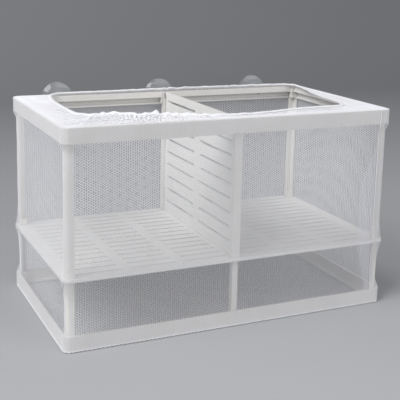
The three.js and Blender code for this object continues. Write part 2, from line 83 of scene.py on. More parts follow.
# %% Place the camera
STANDPOINT = (-0.2859, middle_y - 0.6175, 0.2660)
AZIMUTH, ELEVATION, ROLL = math.radians(-24.963), math.radians(11.382), math.radians(1.334)
LENS, SENSOR_WIDTH, SHIFT = 77.98, 36, -0.15
backward = Vector((
    math.sin(AZIMUTH) * math.cos(ELEVATION),
    -math.cos(AZIMUTH) * math.cos(ELEVATION),
    math.sin(ELEVATION),
))
level_right = Vector((math.cos(AZIMUTH), math.sin(AZIMUTH), 0))
level_up = backward.cross(level_right)
right = math.cos(ROLL) * level_right + math.sin(ROLL) * level_up
up = math.cos(ROLL) * level_up - math.sin(ROLL) * level_right
camera = bpy.data.objects.new("camera", bpy.data.cameras.new("camera"))
bpy.context.scene.collection.objects.link(camera)
turned = Matrix((right, up, backward)).transposed().to_4x4()
camera.matrix_world = Matrix.Translation(STANDPOINT) @ turned
camera.data.sensor_width = SENSOR_WIDTH
camera.data.lens = LENS
camera.data.shift_y = SHIFT
camera.data.clip_start, camera.data.clip_end = 0.01, 20
bpy.context.scene.camera = camera
print("camera at", [round(v, 3) for v in camera.matrix_world.translation])

# %% [markdown]
# ## Finishes
# Every finish is made of nodes that read the object's own coordinates, in metres. A pattern
# that is 0.4 mm wide on the real part therefore has a scale of about 2500 here.
#
# What several finishes share is a node group, built once: it takes a colour and gives back the
# colour with its slight unevenness, a roughness and a height for the bump.

# %% Helpers for node trees
def feed(tree, socket, value):
    """Gives an input its value, or a link where the value is another node's socket."""
    if isinstance(value, bpy.types.NodeSocket):
        tree.links.new(value, socket)
    else:
        socket.default_value = value


def add_node(tree, kind, settings=None, **inputs):
    """A node with its settings and its inputs. An underscore stands for a space in a name."""
    node = tree.nodes.new(kind)
    for name, value in (settings or {}).items():
        setattr(node, name, value)
    for name, value in inputs.items():
        feed(tree, node.inputs[name.replace("_", " ")], value)
    return node


def ramp_between(tree, value, low, high, start, end):
    """Turns a value from start to end into one from low to high."""
    return add_node(tree, "ShaderNodeMapRange", None, Value=value, From_Min=start, From_Max=end,
                    To_Min=low, To_Max=high).outputs["Result"]


def mixed(tree, share, first, second):
    """Mixes two colours by a share. A mix node's colours are its inputs 6 and 7."""
    node = add_node(tree, "ShaderNodeMix", {"data_type": "RGBA"})
    for place, value in ((0, share), (6, first), (7, second)):
        feed(tree, node.inputs[place], value)
    return node.outputs[2]


def combined(tree, operation, first, second):
    """The sum or product of two values."""
    node = add_node(tree, "ShaderNodeMath", {"operation": operation})
    feed(tree, node.inputs[0], first)
    feed(tree, node.inputs[1], second)
    return node.outputs[0]


def new_group(name, inputs, outputs):
    """An empty node group with its sockets, and its input and output nodes."""
    group = bpy.data.node_groups.new(name, "ShaderNodeTree")
    for label, kind, value in inputs:
        socket = group.interface.new_socket(label, in_out="INPUT", socket_type=kind)
        if value is not None:
            socket.default_value = value
    for label, kind in outputs:
        group.interface.new_socket(label, in_out="OUTPUT", socket_type=kind)
    return group, group.nodes.new("NodeGroupInput"), group.nodes.new("NodeGroupOutput")


def group_material(name, group, values, bump_strength, bump_depth):
    """A material that takes colour, roughness and bump from a group with its own values."""
    material = bpy.data.materials.new(name)
    material.use_nodes = True
    tree = material.node_tree
    shader = tree.nodes["Principled BSDF"]
    surface = add_node(tree, "ShaderNodeGroup", {"node_tree": group})
    feed(tree, surface.inputs["Place"], add_node(tree, "ShaderNodeTexCoord").outputs["Object"])
    for label, value in values.items():
        surface.inputs[label].default_value = value
    bump = add_node(tree, "ShaderNodeBump", None, Strength=bump_strength, Distance=bump_depth,
                    Height=surface.outputs["Height"])
    feed(tree, shader.inputs["Base Color"], surface.outputs["Colour"])
    feed(tree, shader.inputs["Roughness"], surface.outputs["Roughness"])
    feed(tree, shader.inputs["Normal"], bump.outputs[0])
    return material, shader, bump


# %% [markdown]
# ### Moulded plastic
# White injection moulded polystyrene is never one flat white. It has a cloudy warm tint where
# the melt flowed, a fine satin grain from the tool, and faint rub marks from handling. Three
# noises at three sizes give these: 25 mm clouds, 0.5 mm grain, and long thin rubs.

# %% The group for moulded surfaces
FLOAT, COLOUR, VECTOR = "NodeSocketFloat", "NodeSocketColor", "NodeSocketVector"
moulded, entry, exit_ = new_group(
    "moulded surface",
    [("Place", VECTOR, None), ("Colour", COLOUR, (0.8, 0.8, 0.8, 1)),
     ("Tint", COLOUR, (0.7, 0.65, 0.6, 1)), ("Cloud Share", FLOAT, 0.3),
     ("Smooth", FLOAT, 0.4), ("Worn", FLOAT, 0.6)],
    [("Colour", COLOUR), ("Roughness", FLOAT), ("Height", FLOAT)],
)
place = entry.outputs["Place"]
clouds = add_node(moulded, "ShaderNodeTexNoise", None, Vector=place, Scale=38.0, Detail=3.0)
grain = add_node(moulded, "ShaderNodeTexNoise", None, Vector=place, Scale=1900.0, Detail=2.0)
stretched = add_node(moulded, "ShaderNodeMapping", None, Vector=place,
                     Rotation=(0.3, 0.5, 0.7), Scale=(60.0, 900.0, 420.0))
rubs = add_node(moulded, "ShaderNodeTexNoise", None, Vector=stretched.outputs[0], Scale=1.0, Detail=4.0)
cloud_mask = ramp_between(moulded, clouds.outputs["Fac"], 0.0, 1.0, 0.36, 0.68)
rub_mask = ramp_between(moulded, rubs.outputs["Fac"], 0.0, 1.0, 0.6, 0.74)
cloud_share = combined(moulded, "MULTIPLY", cloud_mask, entry.outputs["Cloud Share"])
tinted = mixed(moulded, cloud_share, entry.outputs["Colour"], entry.outputs["Tint"])
rubbed = add_node(moulded, "ShaderNodeMix")
for number, value in ((0, rub_mask), (2, entry.outputs["Smooth"]), (3, entry.outputs["Worn"])):
    feed(moulded, rubbed.inputs[number], value)
# a rub presses the grain flat
height = combined(moulded, "ADD", grain.outputs["Fac"], combined(moulded, "MULTIPLY", rub_mask, -0.35))
feed(moulded, exit_.inputs["Colour"], tinted)
feed(moulded, exit_.inputs["Roughness"], rubbed.outputs[0])
feed(moulded, exit_.inputs["Height"], height)
print("moulded surface:", len(moulded.nodes), "nodes")


# %% White plastic for the mouldings
def white_plastic(name, colour, tint, cloud_share, smooth, worn, grain_depth):
    """Moulded white plastic with rounded-looking edges and a fine satin grain."""
    values = {"Colour": colour, "Tint": tint, "Cloud Share": cloud_share, "Smooth": smooth, "Worn": worn}
    material, shader, bump = group_material(name, moulded, values, 0.35, grain_depth)
    softened = add_node(material.node_tree, "ShaderNodeBevel", {"samples": 4}, Radius=0.45 * MM)
    feed(material.node_tree, bump.inputs["Normal"], softened.outputs[0])
    shader.inputs["IOR"].default_value = 1.5
    return material


frame_white = white_plastic(
    "frame white", (0.80, 0.79, 0.77, 1), (0.72, 0.69, 0.64, 1), 0.5, 0.38, 0.55, 0.03 * MM)
plate_white = white_plastic(
    "plate white", (0.82, 0.815, 0.80, 1), (0.75, 0.73, 0.70, 1), 0.45, 0.42, 0.6, 0.04 * MM)
post_white = white_plastic(
    "post white", (0.81, 0.80, 0.775, 1), (0.73, 0.70, 0.65, 1), 0.5, 0.34, 0.5, 0.03 * MM)

soft_names = ("net_", "elastic_hem", "suction_cup_")
for name, node in nodes.items():
    if name.startswith(soft_names):
        continue
    finish = post_white if "post" in name else frame_white if "frame" in name else plate_white
    node.data.materials.clear()
    node.data.materials.append(finish)
print("white plastic on", sum(not n.startswith(soft_names) for n in nodes), "mouldings")

# %% [markdown]
# ### Net yarn
# The net is warp-knitted from thin white polyester. Each cord of a cell is two or three yarns
# looped together, so its gloss changes along its length. The group gives small loops, 0.8 mm
# apart on the net and 1.1 mm on the hem, with painted shading darkening their edges as in the
# hollows between the yarns, and broad clouds where the net has picked up a little dust.

# %% The group for knitted yarn
yarn, entry, exit_ = new_group(
    "knitted yarn",
    [("Place", VECTOR, None), ("Colour", COLOUR, (0.85, 0.85, 0.88, 1)),
     ("Shade And Dust", COLOUR, (0.6, 0.6, 0.66, 1)), ("Loop Scale", FLOAT, 1500.0)],
    [("Colour", COLOUR), ("Roughness", FLOAT), ("Height", FLOAT)],
)
place = entry.outputs["Place"]
loops = add_node(yarn, "ShaderNodeTexVoronoi", None, Vector=place, Scale=entry.outputs["Loop Scale"])
dust = add_node(yarn, "ShaderNodeTexNoise", None, Vector=place, Scale=30.0, Detail=3.0)
from_middle = loops.outputs["Distance"]
# painted shading: the colour darkens towards each loop's edge, as in the hollows between the yarns
painted_loop_shade = ramp_between(yarn, from_middle, 0.0, 0.45, 0.2, 0.8)
dust_mask = ramp_between(yarn, dust.outputs["Fac"], 0.0, 0.3, 0.4, 0.7)
# the darker colour serves twice: as painted shading at the loops' edges, and as the dust's colour in the
# clouds
loop_shaded = mixed(yarn, painted_loop_shade, entry.outputs["Colour"], entry.outputs["Shade And Dust"])
dusted = mixed(yarn, dust_mask, loop_shaded, entry.outputs["Shade And Dust"])
feed(yarn, exit_.inputs["Colour"], dusted)
feed(yarn, exit_.inputs["Roughness"], ramp_between(yarn, from_middle, 0.5, 0.75, 0.1, 0.8))
feed(yarn, exit_.inputs["Height"], ramp_between(yarn, from_middle, 1.0, 0.0, 0.0, 0.9))
print("knitted yarn:", len(yarn.nodes), "nodes")


# %% Net white, and the denser white of hem and seams
def yarn_material(name, colour, shade_and_dust, loop_scale, loop_depth):
    """White knitted yarn with the faint sheen of polyester."""
    values = {"Colour": colour, "Shade And Dust": shade_and_dust, "Loop Scale": loop_scale}
    material, shader, _ = group_material(name, yarn, values, 0.5, loop_depth)
    shader.inputs["Sheen Weight"].default_value = 0.15
    shader.inputs["Sheen Roughness"].default_value = 0.4
    return material


# the second colour of each yarn is both the painted shading at the loops' edges and the dust's colour
net_yarn = yarn_material("net yarn", (0.92, 0.92, 0.95, 1), (0.80, 0.80, 0.86, 1), 1300.0, 0.06 * MM)
hem_yarn = yarn_material("hem yarn", (0.92, 0.92, 0.94, 1), (0.76, 0.76, 0.81, 1), 900.0, 0.12 * MM)


# %% [markdown]
# ## The net bag
# The bag is one piece of hexagonal net. A cell on the photographed bag is about 1.6 mm from side
# to side and its columns stand upright, which shows as slanting rows of fine white cords. Here it
# is 1.9 mm, because narrower cells blur to a plain haze in a picture of this size. An image of a
# net on flat sheets would look right only from far away, so every cell is real: six short cords
# round a hole, each cord with a raised middle. The long walls are made in an upper and a lower
# part, which share their cells' edges, so that each piece stays under 200,000 triangles.
#
# First come the bag's two directions: round the box, and up the wall. A surface is then a
# function from these two to a point, and one function knits any stretch of net onto it.

# %% The bag's outline round the box
CELL = 1.9 * MM
NET_GAP = 0.45 * MM
CORNER = 5.0 * MM + NET_GAP
hull_x, hull_y = half_length + NET_GAP, half_width + NET_GAP
arc = CORNER * math.pi / 2
run_x, run_y = 2 * (hull_x - CORNER), 2 * (hull_y - CORNER)
# from the front left corner round: corner, front, corner, right, corner, back, corner, left
stretch_lengths = np.array([arc, run_x, arc, run_y, arc, run_x, arc, run_y])
stretch_starts = np.concatenate([[0], np.cumsum(stretch_lengths)])
bag_round = stretch_starts[-1]
# a hexagon's columns stand 0.87 of its width apart, and an even number of them closes the ring
column_count = 2 * round(bag_round / (CELL * math.sqrt(3) / 2) / 2)
column_width = bag_round / column_count
corner_places = stretch_starts[[0, 2, 4, 6]] + arc / 2


def outline(along, inset=0.0):
    """Points on the bag's outline, and the direction outwards there."""
    along = np.mod(along, bag_round)
    inset = np.broadcast_to(inset, along.shape)
    point, outward = np.zeros(along.shape + (2,)), np.zeros(along.shape + (2,))
    centres = [(-1, -1), (1, -1), (1, 1), (-1, 1)]
    for k, (sx, sy) in enumerate(centres):
        centre = np.array([sx * (hull_x - CORNER), middle_y + sy * (hull_y - CORNER)])
        here = (along >= stretch_starts[2 * k]) & (along < stretch_starts[2 * k + 1])
        turn = math.pi + k * math.pi / 2 + (along[here] - stretch_starts[2 * k]) / CORNER
        outward[here] = np.stack([np.cos(turn), np.sin(turn)], -1)
        point[here] = centre + (CORNER - inset[here])[:, None] * outward[here]
        here = (along >= stretch_starts[2 * k + 1]) & (along <= stretch_starts[2 * k + 2])
        facing = math.pi * 1.5 + k * math.pi / 2
        normal = np.array([math.cos(facing), math.sin(facing)])
        forward = np.array([-normal[1], normal[0]])
        gone = along[here] - stretch_starts[2 * k + 1]
        outward[here] = normal
        point[here] = centre + (CORNER - inset[here])[:, None] * normal + gone[:, None] * forward
    return point, outward


print(f"{column_count} columns of {1000 * column_width:.3f} mm, round {1000 * bag_round:.0f} mm")


# %% [markdown]
# ### Where the net is pulled in
# The bag is tight over the two frames and over the false floor's edge. Between them nothing
# holds it out at the corners but the posts, which stand 2 mm further in. So at each corner the
# net dips towards the post, quickly under the top rail and in a pointed tent round the false
# floor's corner, and the dip fades along the wall.

# %% How far the walls dip in
WALL_DIP = 0.45 * MM  # everywhere between the frames
CORNER_DIP = 1.85 * MM  # added at a corner
LOW_CORNER_DIP = 0.6 * MM  # added to that below the false floor
DIP_REACH = 13 * MM  # along the wall, to both sides of a corner
TENT_REACH = 5.5 * MM  # up and down from the false floor's edge
RIPPLE, CREASE, CREASE_REACH = 0.12 * MM, 0.45 * MM, 11 * MM


def smooth_step(value, start, end):
    """From 0 at the start to 1 at the end, level at both."""
    share = np.clip((value - start) / (end - start), 0, 1)
    return share * share * (3 - 2 * share)


def dip(along, level):
    """How far the net lies in from the tight outline, in metres."""
    aside = np.array([(along - c + bag_round / 2) % bag_round - bag_round / 2 for c in corner_places])
    aside = np.take_along_axis(aside, np.abs(aside).argmin(0)[None], 0)[0]
    under_rim = smooth_step(rim_underside - level, 0.0, 6 * MM)
    over_base = smooth_step(level - base_top, -1 * MM, 8 * MM)
    edge_gap = np.maximum(np.maximum(level - floor_high.z, floor_low.z - level), 0)
    tent = 1 - np.exp(-edge_gap / TENT_REACH)
    below = smooth_step(floor_low.z - level, 0.0, 10 * MM)
    depth = WALL_DIP + (CORNER_DIP + LOW_CORNER_DIP * below) * np.exp(-((aside / DIP_REACH) ** 2))
    ripple = RIPPLE * np.sin(along * 95 + 3 * np.sin(level * 60)) * np.sin(level * 130 + along * 31)
    # creases run out from the false floor's corner like rays
    reach = np.hypot(aside, edge_gap)
    ray = np.arctan2(edge_gap, np.abs(aside) + 1e-6)
    fading = np.exp(-((reach / CREASE_REACH - 0.6) ** 2) * 3)
    crease = CREASE * np.sin(11 * ray + 2 * np.sign(aside)) * fading
    return under_rim * over_base * (tent * (depth + ripple) + np.minimum(tent * 2, 1) * crease)


# %% The walls' surface
FOLD_START = rim_top - 0.5 * MM
WALL_BOTTOM = base_low.z + 0.4 * MM
row_height = CELL
wall_rows = round((FOLD_START - WALL_BOTTOM) / row_height)


def wall(along, upward):
    """The bag's wall: a point and its outward direction for a place along and up the net."""
    level = WALL_BOTTOM + upward
    point, outward = outline(along, dip(along, level))
    level = level[..., None]
    return np.concatenate([point, level], -1), np.concatenate([outward, 0 * level], -1)


print(f"{wall_rows} rows of cells up the wall")


# %% Make a mesh object
def mesh_piece(name, points, faces, material, map_points=None):
    """A smooth mesh object from points and faces. map_points are flat places for its own UV map."""
    mesh = bpy.data.meshes.new(name)
    faces = faces.tolist() if isinstance(faces, np.ndarray) else faces
    mesh.from_pydata(np.asarray(points).tolist(), [], faces)
    if map_points is not None:
        flat = np.asarray(map_points, float)
        flat = (flat - flat.min(0)) / (flat.max(0) - flat.min(0)).max()
        corners = np.zeros(len(mesh.loops), int)
        mesh.loops.foreach_get("vertex_index", corners)
        mesh.uv_layers.new(name="OFBake").data.foreach_set("uv", flat[corners].ravel())
    mesh.polygons.foreach_set("use_smooth", [True] * len(mesh.polygons))
    mesh.update()
    piece = bpy.data.objects.new(name, mesh)
    bpy.context.scene.collection.objects.link(piece)
    mesh.materials.append(material)
    return piece


# %% Knit a stretch of net
# On a grid of a third of a column by half a row, every corner of a cell has whole numbers.
AROUND = np.array([(2, 0), (1, 1), (-1, 1), (-2, 0), (-1, -1), (1, -1)])
FINE_STEP = np.array([column_width / 3, row_height / 2])


def knit(name, columns, rows, surface, open_share, keep=None, rise=0.13 * MM):
    """Hexagonal net on a surface: six cords round each hole, raised along their middle by rise.

    columns and rows are ranges of whole cells, and keep says which cells of them are there.
    open_share is the hole's width as a share of the cell's, one number or a function of place.
    """
    i, j = (grid.ravel() for grid in np.meshgrid(np.arange(*columns), np.arange(*rows), indexing="ij"))
    centre = np.stack([3 * i, 2 * j + i % 2], -1)
    if keep is not None:
        centre = centre[keep(*(centre * FINE_STEP).T)]
    knots = centre[:, None, :] + AROUND
    keys, places = np.unique(knots.reshape(-1, 2), axis=0, return_inverse=True)
    share = open_share(*(centre * FINE_STEP).T) if callable(open_share) else open_share
    share = np.broadcast_to(share, len(centre))
    rims = centre[:, None, :] + AROUND * share[:, None, None]
    flat = np.concatenate([keys.astype(float), rims.reshape(-1, 2)]) * FINE_STEP
    point, outward = surface(flat[:, 0], flat[:, 1])
    raised = np.concatenate([np.full(len(keys), rise), np.zeros(rims.shape[0] * 6)])
    point = point + raised[:, None] * outward
    knot = places.reshape(-1, 6)
    rim = len(keys) + np.arange(len(centre) * 6).reshape(-1, 6)
    faces = np.stack([rim, knot, np.roll(knot, -1, 1), np.roll(rim, -1, 1)], -1).reshape(-1, 4)
    piece = mesh_piece(name, point, faces, net_yarn, flat)
    print(f"{name}: {len(centre)} cells, {2 * len(faces)} triangles")
    return piece, len(centre) * column_width * row_height


def column_at(along):
    return round(along / column_width)


# %% [markdown]
# A hole takes 0.83 of its cell's width, so the yarn covers nearly a third of the net. The cords
# are raised most on the front, where the camera sees them and the light falls at a slant.

# %% Knit the four walls
OPEN_SHARE = 0.83
floor_row = round(((floor_low.z + floor_high.z) / 2 - WALL_BOTTOM) / row_height)
front_end, right_end = column_at(stretch_starts[3]), column_at(stretch_starts[4])
back_end = column_at(stretch_starts[7])
halves = ((floor_row, wall_rows, "upper"), (0, floor_row, "lower"))
# the columns, the rows of each part, and how far the cords rise in millimetres
walls = {
    "net_front": ((0, front_end), halves, 0.24),
    "net_right": ((front_end, right_end), ((0, wall_rows, ""),), 0.1),
    "net_back": ((right_end, back_end), halves, 0.18),
    "net_left": ((back_end, column_count), ((0, wall_rows, ""),), 0.1),
}
for cad_name, (columns, parts, rise) in walls.items():
    for low_row, high_row, part in parts:
        name = f"{cad_name}_{part}_knit" if part else f"{cad_name}_knit"
        panel, _ = knit(name, columns, (low_row, high_row), wall, OPEN_SHARE, rise=rise * MM)
        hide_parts(cad_name)
        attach(panel, "box")


# %% [markdown]
# ### The bag's floor
# The floor of the bag is the same net, tight under the bottom frame. Its cells stop at the
# outline, where a thin cord of yarn joins it to the walls, as an overlocked seam does.

# %% Knit the floor
FLOOR_LEVEL = 0.45 * MM
SEAM_MARGIN = 0.35 * MM


def bag_floor(along, across):
    """The bag's floor, from its back left corner: a point and the direction down."""
    point = np.stack([along - hull_x, hull_y - across + middle_y, np.full(along.shape, FLOOR_LEVEL)], -1)
    return point, np.broadcast_to([0.0, 0.0, -1.0], point.shape)


def inside_floor(along, across):
    """The floor's cells stop just inside the outline with its round corners."""
    x, y = np.abs(along - hull_x), np.abs(hull_y - across)
    past_x, past_y = np.maximum(x - hull_x + CORNER, 0), np.maximum(y - hull_y + CORNER, 0)
    return np.hypot(past_x, past_y) < CORNER - SEAM_MARGIN


floor_columns = round(2 * hull_x / column_width) + 1
floor_rows = (0, round(2 * hull_y / row_height) + 1)
for half, columns in (("left", (0, floor_columns // 2)), ("right", (floor_columns // 2, floor_columns))):
    name = f"net_floor_{half}_knit"
    floor_net, _ = knit(name, columns, floor_rows, bag_floor, OPEN_SHARE, inside_floor)
    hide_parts("net_floor")
    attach(floor_net, "box")


# %% [markdown]
# ## The cuff and the elastic hem
# Above the rim the bag turns inwards, and elastic in its hem gathers it. Seen from above, the
# opening isn't a rectangle: the cuff is wide at the left end, along the front and over the front
# right corner, and narrow at the back, where the hem almost lies on the rim.
#
# The opening's outline is the same list of shares that the CAD model uses, as a closed smooth
# curve. Where a line drawn inwards from the outline meets it, the cuff ends.

# %% The opening's curve
OPENING_SHARES = [
    (-0.76, -0.50), (-0.66, -0.51), (-0.55, -0.63), (-0.42, -0.66), (-0.22, -0.77), (0.05, -0.83),
    (0.25, -0.79), (0.42, -0.71), (0.60, -0.67), (0.78, -0.64), (0.825, -0.50), (0.85, -0.12),
    (0.88, 0.20), (0.93, 0.56), (0.935, 0.86), (0.88, 0.93), (0.40, 0.94), (-0.35, 0.94),
    (-0.74, 0.92), (-0.80, 0.78), (-0.83, 0.10), (-0.81, -0.38),
]


def closed_curve(points, steps):
    """A centripetal Catmull-Rom curve through a closed list of points."""
    points = np.asarray(points, float)
    curve = []
    for k in range(len(points)):
        p0, p1, p2, p3 = (points[(k + n - 1) % len(points)] for n in range(4))
        t0 = 0.0
        t1 = t0 + math.sqrt(np.linalg.norm(p1 - p0))
        t2 = t1 + math.sqrt(np.linalg.norm(p2 - p1))
        t3 = t2 + math.sqrt(np.linalg.norm(p3 - p2))
        t = np.linspace(t1, t2, steps, endpoint=False)[:, None]
        a1 = (t1 - t) / (t1 - t0) * p0 + (t - t0) / (t1 - t0) * p1
        a2 = (t2 - t) / (t2 - t1) * p1 + (t - t1) / (t2 - t1) * p2
        a3 = (t3 - t) / (t3 - t2) * p2 + (t - t2) / (t3 - t2) * p3
        b1 = (t2 - t) / (t2 - t0) * a1 + (t - t0) / (t2 - t0) * a2
        b2 = (t3 - t) / (t3 - t1) * a2 + (t - t1) / (t3 - t1) * a3
        curve.append((t2 - t) / (t2 - t1) * b1 + (t - t1) / (t2 - t1) * b2)
    return np.concatenate(curve)


opening = closed_curve([(x * half_length, y * half_width + middle_y) for x, y in OPENING_SHARES], 40)
opening_steps = np.linalg.norm(np.roll(opening, -1, 0) - opening, axis=1)
opening_round = opening_steps.sum()
print(f"the opening is {1000 * opening_round:.0f} mm round")


def on_opening(along):
    """Points on the opening's curve by distance, and the direction inward there."""
    marks = np.concatenate([[0], np.cumsum(opening_steps)])
    closed = np.vstack([opening, opening[:1]])

    def place_at(distance):
        distance = np.mod(distance, opening_round)
        return np.stack([np.interp(distance, marks, closed[:, k]) for k in (0, 1)], -1)

    forward = place_at(along + MM) - place_at(along - MM)
    forward /= np.linalg.norm(forward, axis=-1, keepdims=True)
    return place_at(along), np.stack([-forward[..., 1], forward[..., 0]], -1)


# %% [markdown]
# The net's columns run straight in from the long and short sides, and fan out round each corner,
# where the cloth has too much length and crowds together. The direction therefore turns
# smoothly over 48 mm on both sides of a corner.

# %% Lines inwards over the cuff
FAN = 48 * MM


def inward_direction(along):
    """The direction straight in from the outline, turned smoothly from one side to the next."""
    places = [*corner_places, corner_places[0] + bag_round]
    turn = math.pi / 2 * sum(smooth_step(along - place, -FAN, FAN) for place in places)
    return np.stack([np.cos(turn), np.sin(turn)], -1)


def reach_to_opening(along):
    """How far the cuff reaches in from the outline before it meets the hem."""
    start, _ = outline(along)
    direction = inward_direction(along)
    ends = np.roll(opening, -1, 0)
    reach = np.full(along.shape, 1.0)
    for first, last in zip(opening, ends):
        edge = last - first
        cross = direction[:, 0] * edge[1] - direction[:, 1] * edge[0]
        cross = np.where(np.abs(cross) < 1e-12, 1e-12, cross)
        gap = first - start
        distance = (gap[:, 0] * edge[1] - gap[:, 1] * edge[0]) / cross
        share = (gap[:, 0] * direction[:, 1] - gap[:, 1] * direction[:, 0]) / cross
        hit = (distance > 0) & (share >= 0) & (share <= 1)
        reach = np.where(hit, np.minimum(reach, distance), reach)
    return reach


reach_marks = np.linspace(0, bag_round, 1600)
reach_values = reach_to_opening(reach_marks[:-1] + 1e-7)
reach_values = np.append(reach_values, reach_values[0])
print(f"the cuff reaches in {1000 * reach_values.min():.1f} to {1000 * reach_values.max():.1f} mm")

# %% [markdown]
# ### Where the cloth crumples
# The elastic doesn't gather the cloth evenly. At the front left it is pushed together into
# ruffles that stand 2 or 3 mm over the rim, at the back it makes small bumps on the rim, and
# elsewhere it is drawn nearly straight. How crumpled a place is depends on its place in plan, so
# the cuff and the hem read the same two functions and stay together.

# %% Two functions of a place in plan
def crumple(place):
    """From 0, drawn straight, to 1, full ruffles."""
    x, y = place[..., 0] / half_length, (place[..., 1] - middle_y) / half_width
    front = smooth_step(-y, 0.2, 0.5) * np.exp(-(((x + 0.52) / 0.31) ** 2))
    back = 0.3 * smooth_step(y, 0.5, 0.8) * np.exp(-(((x - 0.15) / 0.5) ** 2))
    return np.clip(0.07 + front + back, 0, 1)


def ruffle(place, size=1.0, turn=0.0):
    """An uneven wave from about -1 to 1, some 9 mm from crest to crest for size 1."""
    x, y = place[..., 0] / size, place[..., 1] / size
    return (0.5 * np.sin(640 * x + 260 * y + 1.5 * np.sin(310 * x + turn) + turn)
            + 0.3 * np.sin(390 * x - 420 * y + 2.1 + 2 * turn)
            + 0.25 * np.sin(1150 * x + 560 * y + 1.5 * np.sin(210 * x) + turn))


def edge_lift(place):
    """How high the cuff's inner edge stands over the rim."""
    return crumple(place) * (1.5 + 1.3 * ruffle(place)) * MM


# %% [markdown]
# The cuff rolls over the rim's edge with a radius of about a millimetre, lies on the flange,
# and then runs free to the hem. Drawn straight it sags by a millimetre. Crumpled, it has small
# folds whose cells lie closer together, so it looks much whiter there.

# %% The cuff's surface
ROLL_RADIUS = 0.95 * MM
CUFF_LEVEL = rim_top + NET_GAP
FLANGE_REST = 6 * MM  # how far in from the outline the cuff lies on the flange
SAG, FOLD_HEIGHT, RIM_FOLD = 1.1 * MM, 1.05 * MM, 0.4 * MM
roll_length = ROLL_RADIUS * math.pi / 2
wall_height = wall_rows * row_height


def cuff_reach(along):
    return np.interp(np.mod(along, bag_round), reach_marks, reach_values)


def cuff(along, upward):
    """The cuff: a point and its direction outward for a place along the net and past the wall."""
    past = upward - wall_height
    angle = np.clip(past / ROLL_RADIUS, 0, math.pi / 2)
    inset = ROLL_RADIUS * (1 - np.cos(angle)) + np.maximum(past - roll_length, 0)
    start, outward = outline(along)
    place = start + inward_direction(np.mod(along, bag_round)) * inset[..., None]
    reach = cuff_reach(along)
    rest = np.minimum(FLANGE_REST, 0.5 * reach)
    free = np.clip((inset - rest) / (reach - rest), 0, 1)
    span = np.clip((reach - FLANGE_REST) / (20 * MM), 0, 1)
    crumpled = crumple(place)
    hollow = np.sin(math.pi * free)
    rise = free ** 1.5 * edge_lift(place) - SAG * span * (1 - 0.8 * crumpled) * hollow
    folds = FOLD_HEIGHT * (0.08 + crumpled) * ruffle(place, 0.6, 1.3) * hollow
    on_rim = RIM_FOLD * crumpled * (1 + ruffle(place, 0.5, 0.4)) * smooth_step(inset, 0.0, 2 * MM)
    roll_start = WALL_BOTTOM + wall_height
    level = roll_start + (CUFF_LEVEL - roll_start) * np.sin(angle) + rise + folds + on_rim
    level = np.where(past < 0, WALL_BOTTOM + upward, level)
    normal = np.concatenate([outward * np.cos(angle)[..., None], np.sin(angle)[..., None]], -1)
    return np.concatenate([place, level[..., None]], -1), normal


def under_hem(along, upward):
    """The cuff's cells stop under the hem."""
    return upward - wall_height - roll_length + ROLL_RADIUS < cuff_reach(along) - 0.2 * MM


def cuff_open_share(along, upward):
    """The cells close a little past the rim, and more where the cloth is crumpled."""
    past = np.maximum(upward - wall_height, 0)
    start, _ = outline(along)
    place = start + inward_direction(np.mod(along, bag_round)) * past[:, None]
    return OPEN_SHARE - (0.05 + 0.13 * crumple(place)) * np.clip(past / (7 * MM), 0, 1)


# %% Knit the cuff in four parts, the narrow back one apart from the others
ends = ((0, 0), (3, 35), (5, 25), (6, -50), (8, 0))  # a stretch's start, and millimetres past it
cuff_ends = [column_at(stretch_starts[k] + away * MM) for k, away in ends]
for part, first, last in zip(("front", "right", "back", "left"), cuff_ends, cuff_ends[1:]):
    here = (reach_marks >= first * column_width) & (reach_marks <= last * column_width)
    widest = reach_values[here].max()
    rows = (wall_rows, wall_rows + math.ceil((widest + 2 * MM) / row_height))
    name = f"net_cuff_{part}_knit"
    cuff_net, cut_area = knit(name, (first, last), rows, cuff, cuff_open_share, under_hem, 0.22 * MM)
    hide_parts("net_cuff")
    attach(cuff_net, "box")

# %% [markdown]
# ### The elastic hem
# The hem is a narrow flat casing round a thin elastic. The elastic is shorter than the cloth, so
# the casing pleats across it every two millimetres. A flattened tube is lofted along the opening:
# the ruffles lift and tip it, and small pleats change its thickness.

# %% The hem's course and its uneven height
rng = np.random.default_rng(11)
STATIONS, SIDES, PLEATS = 2400, 12, 330
share = np.arange(STATIONS) / STATIONS


def soft_noise(wave_count, size):
    """A smooth closed row of random values, one for each station."""
    waves = rng.integers(max(2, wave_count // 3), wave_count, 12)
    return size / 3 * sum(
        rng.uniform(0.3, 1) * np.sin(2 * math.pi * (n * share + rng.uniform())) for n in waves)


place, inward = on_opening(share * opening_round)
crumpled = crumple(place)
middle = place + inward * (soft_noise(70, 0.55 * MM) * (0.12 + crumpled))[:, None]
# along the back the hem is rolled thicker and lies higher
rolled = smooth_step((place[:, 1] - middle_y) / half_width, 0.55, 0.85)
level = CUFF_LEVEL + (0.45 + 0.7 * rolled) * MM + edge_lift(place)
level = level + soft_noise(110, 0.3 * MM) * (0.15 + crumpled)
print(f"{STATIONS} stations, {1000 * opening_round / PLEATS:.1f} mm from pleat to pleat")


# %% Loft the hem
def ring_faces(rows, sides, total):
    """Rows of four corners for a tube: a point, the one beside it, and the two ahead of these."""
    here = (np.arange(rows)[:, None] * sides + np.arange(sides)).ravel()
    beside = (np.arange(rows)[:, None] * sides + (np.arange(sides) + 1) % sides).ravel()
    return np.stack([here, beside, (beside + sides) % total, (here + sides) % total], -1)


